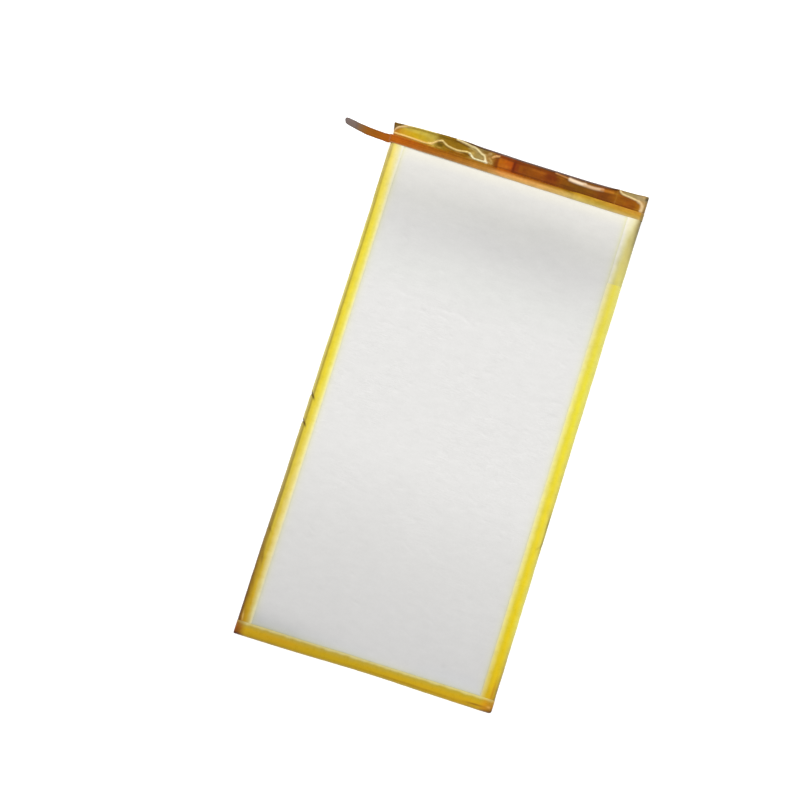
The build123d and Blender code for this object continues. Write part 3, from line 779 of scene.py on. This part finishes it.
patches = [
    # x, y, half width, half height, colour, strength: what shows through or catches the light
    (-35, 76.45, 7, 0.34, (186, 110, 18), 0.95),
    (-33.8, 77.15, 5, 0.22, (224, 166, 54), 0.75),
    (-31.5, 76.55, 3, 0.3, (190, 140, 62), 0.8),
    (-33, 79.6, 5.5, 0.75, (206, 186, 84), 0.75),
    (-28.2, 77.2, 0.9, 0.4, (236, 206, 124), 0.8),
    (-28.6, 79.4, 1.7, 0.7, (188, 166, 74), 0.8),
    (-25.2, 79.9, 1.4, 0.45, (134, 108, 42), 0.7),
    (-25.4, 77.75, 1, 0.5, (112, 88, 8), 1),
    (-25.5, 76.75, 0.8, 0.22, (206, 158, 80), 0.75),
    (-20, 76.6, 3.6, 0.45, (144, 90, 18), 0.95),
    (-17, 77.25, 1.6, 0.35, (134, 94, 16), 0.9),
    (-19.2, 77.15, 1.4, 0.25, (188, 140, 66), 0.75),
    (-15.4, 77.95, 0.8, 0.6, (208, 180, 102), 0.6),
    (-21.5, 79.1, 4, 0.85, (147, 111, 38), 0.85),
    (-15.2, 79.5, 1.6, 0.4, (186, 164, 98), 0.8),
    (-13.2, 78.2, 1.3, 0.5, (170, 146, 84), 0.75),
    (-12.8, 79.2, 1.5, 0.35, (210, 184, 126), 0.75),
    (-10.6, 79.55, 2.2, 0.45, (142, 106, 48), 0.95),
    (-9.2, 76.9, 0.7, 0.5, (190, 158, 90), 0.6),
    (-4.6, 77, 1.6, 0.7, (190, 110, 44), 0.7),
    (-4.8, 79.85, 3, 0.62, (122, 60, 22), 0.85),
    (-1, 79.5, 2.6, 0.35, (112, 60, 22), 0.8),
    (-2, 78.1, 0.38, 1.7, (110, 50, 6), 0.75),
    (0.2, 78, 0.7, 1, (158, 94, 30), 0.45),
    (4.5, 79.6, 3.6, 0.26, (116, 60, 14), 0.7),
    (5.5, 78.8, 2.4, 0.35, (170, 98, 40), 0.7),
    (10, 78.3, 1.6, 0.8, (122, 58, 4), 0.6),
    (12.5, 79.1, 1.3, 0.35, (158, 98, 28), 0.6),
    (15, 77, 2.6, 0.35, (114, 68, 6), 0.8),
    (22.5, 77, 2.6, 0.3, (116, 70, 4), 0.6),
    (27, 77.9, 1.3, 0.8, (122, 70, 2), 0.6),
    (32.6, 77.6, 1.2, 0.5, (164, 102, 20), 0.6),
    (35.8, 77.2, 1, 0.45, (134, 76, 6), 0.6),
    (7.5, 80, 2.6, 0.2, (108, 68, 36), 0.7),
    (29, 79.5, 1.8, 0.3, (176, 124, 42), 0.5),
    (33, 78.75, 1.6, 0.28, (132, 80, 10), 0.8),
    (34.8, 80.55, 3.4, 0.8, (166, 146, 96), 0.97),
    (37.8, 80.4, 1.7, 0.9, (178, 156, 112), 0.85),
    (37.6, 76.5, 1.2, 0.35, (180, 128, 46), 0.7),
    (39.5, 80.6, 0.6, 0.6, (96, 84, 62), 0.9),
]
folds = [
    # polyline, width, height, colour, strength: creases that stand on the film, their colour a painted highlight
    # along each crease
    ([(-40.3, 77.22), (-39.8, 78.22), (-39, 79.02), (-37.5, 79.82),
      (-36, 80.22)], 0.31, 0.24, (240, 206, 150), 0.85),
    ([(-36.4, 80.27), (-33.5, 80.52), (-30.5, 80.67), (-27.5, 80.77)], 0.19, 0.1, (232, 224, 160), 0.75),
    ([(-40, 76.97), (-36, 77.02), (-33, 76.97), (-30.5, 76.87), (-28.8, 77.02), (-27.6, 77.52),
      (-26.6, 78.42), (-25.6, 78.92), (-25, 79.02)], 0.24, 0.26, (248, 212, 136), 0.85),
    ([(-25.9, 78.77), (-25, 79.02), (-24.2, 78.62), (-23.2, 78.12), (-22, 77.87), (-20.5, 77.67),
      (-19, 77.72), (-17.5, 78.02), (-16.6, 78.07), (-15.8, 77.72)], 0.24, 0.3, (255, 228, 150), 0.92),
    ([(-16, 77.87), (-15, 77.12), (-14.4, 76.72), (-13, 76.67), (-11.5, 76.67),
      (-10.6, 76.52)], 0.25, 0.32, (255, 248, 204), 1),
    ([(-20.8, 80.72), (-18.5, 80.42), (-16.5, 80.12), (-15, 80.02), (-13.8, 79.62), (-12.6, 78.92),
      (-11.6, 78.52), (-11.2, 77.92), (-10.8, 77.12), (-10.3, 76.52)], 0.24, 0.3, (255, 236, 178), 0.95),
    ([(-17.5, 80.22), (-16.4, 79.92), (-15.5, 79.42)], 0.18, 0.14, (214, 190, 120), 0.5),
    ([(-10.9, 77.02), (-10.5, 76.62)], 0.36, 0.2, (255, 244, 206), 1),
    ([(-9, 78.7), (-8.2, 79.3), (-7.2, 79.6)], 0.29, 0.2, (235, 180, 110), 0.8),
    ([(-10.3, 79.32), (-9.7, 79.52)], 0.31, 0.16, (214, 180, 120), 0.5),
    ([(-9.8, 78.02), (-9.2, 77.5)], 0.31, 0.16, (214, 180, 110), 0.5),
    ([(10.8, 79.95), (12.8, 79.75), (15.2, 79.5)], 0.19, 0.14, (206, 146, 88), 0.75),
    ([(15.4, 79.45), (17, 79.28), (19, 79.2), (20.2, 79.25)], 0.44, 0.22, (255, 230, 198), 0.95),
    ([(20, 79.15), (22, 79.05), (24, 79.15), (25.8, 79.35)], 0.41, 0.2, (238, 200, 158), 0.85),
    ([(25.4, 79.35), (27.5, 79.4), (29, 79.5)], 0.38, 0.12, (204, 128, 50), 0.7),
    ([(30.3, 76.2), (30.4, 78), (30.3, 80.4)], 0.17, 0.05, (178, 122, 48), 0.45),
    ([(31, 80.75), (31.6, 80.2), (32.5, 79.95), (34, 79.75), (36, 79.55),
      (37.5, 79.15)], 0.24, 0.26, (250, 226, 166), 0.9),
    ([(37.2, 79.25), (38.2, 78.8), (38.7, 77.8), (38.6, 76.6)], 0.41, 0.22, (240, 210, 158), 0.75),
]


def wrap_section(x):
    """Outline of the terrace tape across the cell at one x, from the lip round to the back."""
    rim = wrap_high.y + ramp(x, rim_run)
    slant = ease(-20, -8, x) * ease(31, 26, x)
    lip = lip_start - 0.17 + 0.07 * noise.noise(Vector((x * 0.12, 0.0, 43.0)))
    crest = step_y - 0.12 - 0.22 * ease(-9, -7.5, x) * ease(19, 16.5, x)
    corners = [
        (lip, top_z),
        (crest, top_z),
        (crest + 0.5, 2.66),
        (rim - 0.06 - 0.8 * slant, 2.66),
        (rim, 1.55),
        (min(wrap_high.y - 0.07, rim + 0.03), 0.0),
        (wrap_high.y - film - back_flap, 0.0),
    ]
    return rounded_path(corners, [0.24, 0.24, 0.34, 0.9, 0.3], [14, 3, 36, 3, 5, 10], 5)


def wrap_tint(x, y, z):
    """Colour of the amber film by what lies under it, with painted shadows and highlights at its step, rim, folds
    and lip.
    """
    wander = 0.16 * ripple(x, y, 41, 0.5)
    colour = woven(x + wander, y * 0, [-1, 1], [(row[0], row[1], row[1]) for row in recess_run])
    for cx, cy, rx, ry, tone, strength in patches:
        away = ((x - cx) / rx) ** 4 + ((y - cy) / ry) ** 4
        colour = stain(colour, tone, strength * np.exp(-away))
    speck = 0.11 * ripple(x, y, 45, 1.3) + 0.16 * ripple(x * 0.6, y, 46, 0.8)
    colour = colour * (1 + speck)[..., None]
    # shadow at the foot of the step
    foot = hump(y, step_y + 0.32, 0.24) * ease(-8, -6.5, x)
    colour = stain(colour, (104, 58, 4), 0.55 * foot)
    # painted shade where the film slopes down to the rim, deeper over the board than over the empty pocket
    rim = wrap_high.y + ramp(x, rim_run)
    board = ease(-24, -14, x) * ease(32, 29, x)
    colour = stain(colour, (72, 48, 22), 0.9 * board * ease(1.02 + 0.12 * wander, 0.74, rim - y))
    pocket = (1 - board) * ease(-30, -26, x)
    colour = stain(colour, (96, 78, 40), 0.55 * pocket * ease(0.5, 0.25, rim - y))
    # painted shadow just below each fold, and a painted highlight along the fold itself
    for line, width, _, tone, strength in folds:
        path = curve_through(line)
        beside = from_line(x, y, path - np.array([0.0, 0.42]))[0]
        colour = stain(colour, (84, 58, 8), 0.38 * strength * np.exp(-((beside / (width * 1.1)) ** 2)))
        gap = from_line(x, y, path)[0]
        fray = 0.75 + 0.25 * np.clip(0.6 + 1.3 * ripple(x, y, 47 + width, 1.1), 0, 1)
        fray = 1 if width > 0.38 else fray
        colour = stain(colour, tone, strength * fray * np.exp(-((gap / (width * 1.2)) ** 3)))
    # the outer side under the rim
    drift = x + 3.0 * ripple(x * 0.3, z * 0.8 + y * 0.5, 71, 1)
    inside = ease(-26, -13, drift) * ease(33, 27, drift)
    below = stain(np.broadcast_to(reflectance((172, 150, 92)), colour.shape), (88, 56, 28), inside)
    mottle = 0.22 * ripple(x * 0.25, z + y, 73, 1.6) + 0.1 * ripple(x, z + y, 75, 1.2)
    below = below * (1 + mottle)[..., None]
    colour = np.where((y > 78)[..., None], toward(colour, below, ease(2.5, 2.25, z)), colour)
    # dark folded corner outside the first crease
    crease = ramp(x, [(-40.3, 77.2), (-39.8, 78.2), (-39, 79.05), (-37.5, 79.85), (-36, 80.25)])
    corner = ease(0.12, 0.36, y - crease) * ease(-35.8, -37.2, x + 0.5 * (2.6 - z) + 2 * wander)
    colour = stain(colour, (106, 82, 42), 0.9 * corner)
    streaks = 0.17 * ripple(x, y * 3.5, 51, 0.33) + 0.12 * ripple(x, y * 1.5, 53, 1.3)
    streaks += 0.13 * ripple(x, y * 1.2, 55, 2.4) * ease(0, -12, x)
    marks = [lip_start + 0.1, lip_start + 0.95, lip_start + 1.8]
    lip = woven(x, y + 0.12 * ripple(x * 0.35, y * 2, 49, 1), marks, lip_run)
    lip = lip * (1 + streaks)[..., None]
    tracks = 0.5 + 0.5 * np.sin(y * 11.0 + 0.8 * ripple(x, 0, 5, 0.2))
    lip = lip * (1 - 0.17 * tracks * ease(-4, -10, x))[..., None]
    # painted highlight along the lip's free edge
    lip = stain(lip, (206, 190, 150), 0.45 * hump(y, lip_start - 0.12, 0.13))
    lip = stain(lip, (148, 128, 82), 0.8 * ease(38.7, 39.3, x))
    return toward(colour, lip, ease(top_z - 0.22, top_z - 0.06, z) * (y < step_y + 0.4))


def wrap_relief(x, y, z):
    """Sag of the film between the step and the rim, with its folds standing on it."""
    open_part = ease(step_y + 0.45, step_y + 1, y) * ease(wrap_high.y - 0.35, wrap_high.y - 1.1, y)
    rise = open_part * (0.1 * ripple(x, y, 61, 0.45) + 0.05 * ripple(x, y, 63, 1.1) - 0.06)
    rise = rise - 0.5 * open_part * ease(-8.5, -12, x) * ease(-40, -38, x)
    rise = rise + 0.12 * open_part * ease(-7.3, -6.8, x) * ease(-1.7, -2.2, x)
    for line, width, tall, _, _ in folds:
        gap, place = from_line(x, y, curve_through(line))
        height = tall * (0.75 + 0.35 * ripple(place * 6, 0, tall * 90, 1))
        rise = rise + height * np.exp(-((gap / width) ** 2))
    lip = 0.012 + 0.014 * ripple(x, y * 2, 67, 0.5)
    return np.where(y < step_y + 0.35, lip, rise) * ease(2.2, 2.55, z)


def terrace_wrap():
    """The amber film, its right end turned down the side and its left end turned down beside the tail."""
    x, y, z = swept(spaced(-end_x, end_x, 0.2), wrap_section)
    # the lip steps up over the flex strip, which ends just left of the middle
    over_strip = ease(-1.6, -3, x) * ease(step_y + 0.5, step_y + 0.1, y) * ease(2.6, 3, z)
    top = z + (flex_high.z - face_z) * over_strip + wrap_relief(x, y, z)
    tints = wrap_tint(x, y, z)
    ends = []
    bend = np.radians(np.array([15, 35, 55, 75, 90]))
    reach = np.concatenate([end_turn * np.sin(bend), [0.63, 0.64, 0.62, 0.6]])
    fall = np.concatenate([end_turn * (1 - np.cos(bend)), [1.1, 1.7, 2.3, 2.9]])
    end_swell = [(76.9, 0.0), (77.5, 0.1), (80.2, 0.66), (81.0, 0.45)]
    over_tail = ease(step_y + 0.45, step_y - 0.05, y[0]) * (z[0] > 2)
    for row, sign in ((0, -1), (-1, 1)):
        made = []
        for k, (out, down) in enumerate(zip(reach, fall), 1):
            ceiling = np.maximum(top[row] - down, 0.03 + 0.2 * np.minimum(z[row], 0.3))
            low = np.minimum(top[row], ceiling)
            swell = ramp(y[row], end_swell) if sign < 0 else 0.0
            edge_x = sign * (end_x + out + swell * min(1.0, k / 4))
            if sign < 0:
                low = top[row] * over_tail + low * (1 - over_tail)
                edge_x = edge_x * (1 - over_tail) + (-end_x - 0.1 * k) * over_tail
            made.append(np.stack([edge_x + np.zeros(len(low)), y[row], low], -1))
        ends.append(made)
    left_end = np.array(ends[0][::-1])
    left_x = left_end[..., 0]
    left_tints = wrap_tint(left_x, *(np.broadcast_to(v[0], left_x.shape) for v in (y, z)))
    outer = np.concatenate([left_end, np.stack([x, y, top], -1), np.array(ends[1])])
    # painted shade: the ends darken as they turn down, apart from the lip over the tail
    dusk = np.linspace(0.95, 0.55, len(reach))[:, None, None]
    left_dusk = dusk[::-1] * (1 - over_tail)[:, None] + over_tail[:, None]
    tints = np.concatenate([left_tints * left_dusk, tints, tints[-1:] * dusk])
    return shell("amber_tape", outer, lining(outer, film * 0.85), tints)


stick(terrace_wrap(), "cell", amber, "amber_tape", "terrace_tape")

# --- Tail ---

root_low, root_high = box_mm("tail_root")
tail_y = (root_low.y + root_high.y) / 2
tip_low, tip_high = box_mm("tail_tip")
tail_start = -39.0
tip_end = tip_low.x - 0.25
tip_round = 1.15
hinge_spots = [(hinge.x, hinge.z) for hinge in hinges]
tail_side = curve_through([(tail_start, hinges[0].z), *hinge_spots, (tip_end, tip_high.z + 0.06)], 12)
centre_run = [
    (-39, -0.05), (-40.2, -0.22), (-41, -0.39), (-47.5, -0.37), (-50, -0.18), (-52.5, 0), (-55, 0.2),
]
width_run = [
    (-39, 2.3), (-40.2, 2.6), (-41, 2.7), (-41.6, 2.6), (-42.2, 2.46), (-48, 2.52), (-50, 2.34),
    (-52.5, 2.16), (-55, 1.85),
]
tail_tone = [
    (-39, (186, 98, 24)), (-41, (168, 92, 18)), (-44, (158, 92, 30)), (-47.5, (156, 96, 40)),
    (-49, (144, 100, 58)), (-50.2, (136, 105, 78)), (-51.2, (126, 106, 96)), (-55, (124, 110, 106)),
]


def ribbon(name, start, end, lift, depth, spare=0.0):
    """Closed strip along the tail from start to end, lift above its middle plane, depth thick."""
    stations = spaced(start, end, 0.16)
    across = np.concatenate([[1.0, 0.985, 0.95], np.linspace(0.9, -0.9, 25), [-0.95, -0.985, -1.0]])
    x = np.broadcast_to(stations[:, None], (len(stations), len(across)))
    v = np.broadcast_to(across, x.shape)
    path_z = np.interp(-x, -tail_side[:, 0], tail_side[:, 1])
    slope = np.interp(-x, -tail_side[:, 0], np.gradient(tail_side[:, 1], tail_side[:, 0]))
    half = ramp(-x, [(-a, w / 2) for a, w in width_run]) + spare
    y = tail_y + ramp(-x, [(-a, c) for a, c in centre_run])
    # the far end is rounded, more on the side toward the cell's face
    past = np.clip(tip_round - (x - tip_end), 0, tip_round)
    trim = tip_round - np.sqrt(np.maximum(tip_round**2 - past**2, 0))
    y = y + v * half - np.where(v < 0, -1.0, 0.35) * trim * np.abs(v)
    edge = ease(0.9, 1, np.abs(v))
    tracks = 0.01 * np.cos(v * 15.0) * (spare == 0.0)
    rise = lift + depth / 2 - 0.35 * depth * edge + tracks + 0.008 * ripple(x, y, 91, 0.8)
    fall = lift - depth / 2 + 0.35 * depth * edge
    length = np.hypot(1, slope)
    top, low = (np.stack([x - slope * off / length, y, path_z + off / length], -1) for off in (rise, fall))
    tone = woven(-x, v * 0, [-1, 1], [(-row[0], row[1], row[1]) for row in tail_tone])
    shade = 1 - 0.42 * hump(np.abs(v), 1, 0.16) + 0.05 * np.cos(v * 15.0)
    shade += 0.14 * ripple(x * 0.35, y * 2.2, 93, 0.9)
    return shell(name, top, low, tone * shade[..., None])


def tail_piece(name, start, end, node):
    """Part of the tail around one hinge, over a length before it and a length after it."""
    obj = ribbon(name, start, end, 0.0, 0.14)
    obj.data.materials.append(ribbon_film)
    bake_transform(obj)
    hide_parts(node)


mid_one = (hinges[0].x + hinges[1].x) / 2
mid_two = (hinges[1].x + hinges[2].x) / 2
tail_piece("tail_start", tail_start, mid_one, "tail_root")
tail_piece("tail_bend", mid_one, mid_two, "tail_middle")
tail_piece("tail_end", mid_two, tip_end, "tail_tip")
grey = tinted_film("stiffener_film", (0.4, 0.55), 0.01, 0.3)
plate = ribbon("tip_plate", hinges[2].x - 0.95, tip_end, 0.125, 0.12, 0.03)
stick(plate, "tail_tip_body", grey, "stiffener_grey", "tail_stiffener")

# --- Materials of the carried-over nodes ---

finishes = [
    # slot, dark tone, light tone, roughness, grain, and stretch, depth and metal where they differ
    ("cathode_coating", (0.012, 0.012, 0.014), (0.03, 0.03, 0.033), (0.7, 0.9), 3),
    ("anode_coating", (0.02, 0.02, 0.024), (0.05, 0.05, 0.055), (0.6, 0.8), 3),
    ("separator_film", (0.7, 0.7, 0.69), (0.85, 0.85, 0.84), (0.5, 0.7), 2),
    ("roll_tape", (0.02, 0.16, 0.08), (0.03, 0.24, 0.12), (0.3, 0.45), 2),
    ("aluminium_tab", (0.6, 0.6, 0.62), (0.75, 0.75, 0.77), (0.3, 0.45), 1, (6, 1, 1), 0.01, 1),
    ("nickel", (0.45, 0.42, 0.37), (0.6, 0.57, 0.52), (0.28, 0.42), 1, (6, 1, 1), 0.01, 1),
    ("sealant_film", (0.45, 0.45, 0.42), (0.6, 0.6, 0.56), (0.35, 0.5), 2),
    ("fibre_paper", (0.12, 0.17, 0.1), (0.2, 0.26, 0.16), (0.7, 0.9), 4, (1, 4, 1)),
    ("solder_mask", (0.008, 0.04, 0.018), (0.02, 0.08, 0.035), (0.2, 0.35), 1.2),
    ("chip_epoxy", (0.012, 0.012, 0.013), (0.03, 0.03, 0.032), (0.5, 0.7), 8),
    ("resistor_body", (0.01, 0.01, 0.015), (0.03, 0.03, 0.04), (0.2, 0.35), 6),
    ("capacitor_ceramic", (0.22, 0.13, 0.06), (0.32, 0.2, 0.1), (0.35, 0.5), 6),
    ("thermistor_ceramic", (0.02, 0.05, 0.02), (0.04, 0.09, 0.04), (0.3, 0.45), 6),
    ("fuse_ceramic", (0.5, 0.5, 0.46), (0.62, 0.62, 0.58), (0.3, 0.45), 6),
    ("flex_film", (0.29, 0.07, 0.008), (0.45, 0.13, 0.016), (0.22, 0.36), 1.2, (0.3, 2.5, 1)),
    ("label_film", (0.66, 0.66, 0.64), (0.76, 0.76, 0.74), (0.45, 0.6), 1.5),
    ("stiffener_grey", (0.12, 0.09, 0.09), (0.2, 0.16, 0.16), (0.4, 0.55), 3),
    ("connector_plastic", (0.015, 0.015, 0.016), (0.035, 0.035, 0.036), (0.4, 0.55), 6),
    ("contact_metal", (0.55, 0.38, 0.14), (0.75, 0.55, 0.24), (0.2, 0.3), 6, (1, 1, 1), 0.004, 1),
]
by_slot = {row[0]: plain(*row) for row in finishes}
by_slot["pouch_laminate"] = pouch_film("pouch_inner_film")
for part in frame["record"]["subparts"]:
    if part["material_slot"] in by_slot:
        kept = nodes[part["node"]].data.materials
        kept.clear()
        kept.append(by_slot[part["material_slot"]])

# --- Stage, light and camera ---

mesh = bpy.data.meshes.new("floor")
corners = ((-20, -20), (20, -20), (20, 20), (-20, 20))
mesh.from_pydata([(x, y, -0.00002) for x, y in corners], [], [(0, 1, 2, 3)])
floor = bpy.data.objects.new("floor", mesh)
scene.collection.objects.link(floor)
ground = Surface("floor_white", roughness=0.9, specular=0.1)
ground.set("Base Color", (0.9, 0.9, 0.9))
ground.set("Emission Color", (1.0, 1.0, 1.0))
ground.set("Emission Strength", 0.55)
floor.data.materials.append(ground.material)

world = bpy.data.worlds.new("studio")
scene.world = world
world.use_nodes = True
back = world.node_tree.nodes["Background"]
back.inputs[0].default_value = (1.0, 1.0, 1.0, 1.0)
seen = world.node_tree.nodes.new("ShaderNodeLightPath")
power = world.node_tree.nodes.new("ShaderNodeMapRange")
power.inputs[3].default_value = 0.72
power.inputs[4].default_value = 1.0
world.node_tree.links.new(seen.outputs["Is Camera Ray"], power.inputs[0])
world.node_tree.links.new(power.outputs[0], back.inputs[1])


def area_light(name, spot, aim, size, power):
    lamp = bpy.data.lights.new(name, "AREA")
    lamp.size = size
    lamp.energy = power
    obj = bpy.data.objects.new(name, lamp)
    obj.location = spot
    obj.rotation_euler = (Vector(aim) - Vector(spot)).to_track_quat("-Z", "Y").to_euler()
    scene.collection.objects.link(obj)


area_light("key", (-0.35, 0.75, 0.7), (0, 0.02, 0), 0.45, 5.0)
area_light("fill", (0.7, -0.5, 0.9), (0, 0, 0), 0.9, 3.0)

camera_data = bpy.data.cameras.new("camera")
camera_data.sensor_width = 36.0
camera_data.lens = 83.75
camera_data.clip_start = 0.01
camera = bpy.data.objects.new("camera", camera_data)
elevation, azimuth, roll = math.radians(84.84), math.radians(-0.81), math.radians(16.73)
aim, distance = Vector((-0.01366, 0.00003, 0)), 0.56
level = Vector((math.sin(azimuth), math.cos(azimuth), 0))
ahead = level * math.cos(elevation) - Vector((0, 0, math.sin(elevation)))
right = Vector((math.cos(azimuth), -math.sin(azimuth), 0))
up = right.cross(ahead)
side = right * math.cos(roll) + up * math.sin(roll)
top = up * math.cos(roll) - right * math.sin(roll)
turn = Matrix((side, top, -ahead)).transposed()
camera.matrix_world = Matrix.Translation(aim - ahead * distance) @ turn.to_4x4()
scene.collection.objects.link(camera)
scene.camera = camera
scene.view_settings.view_transform = "Standard"
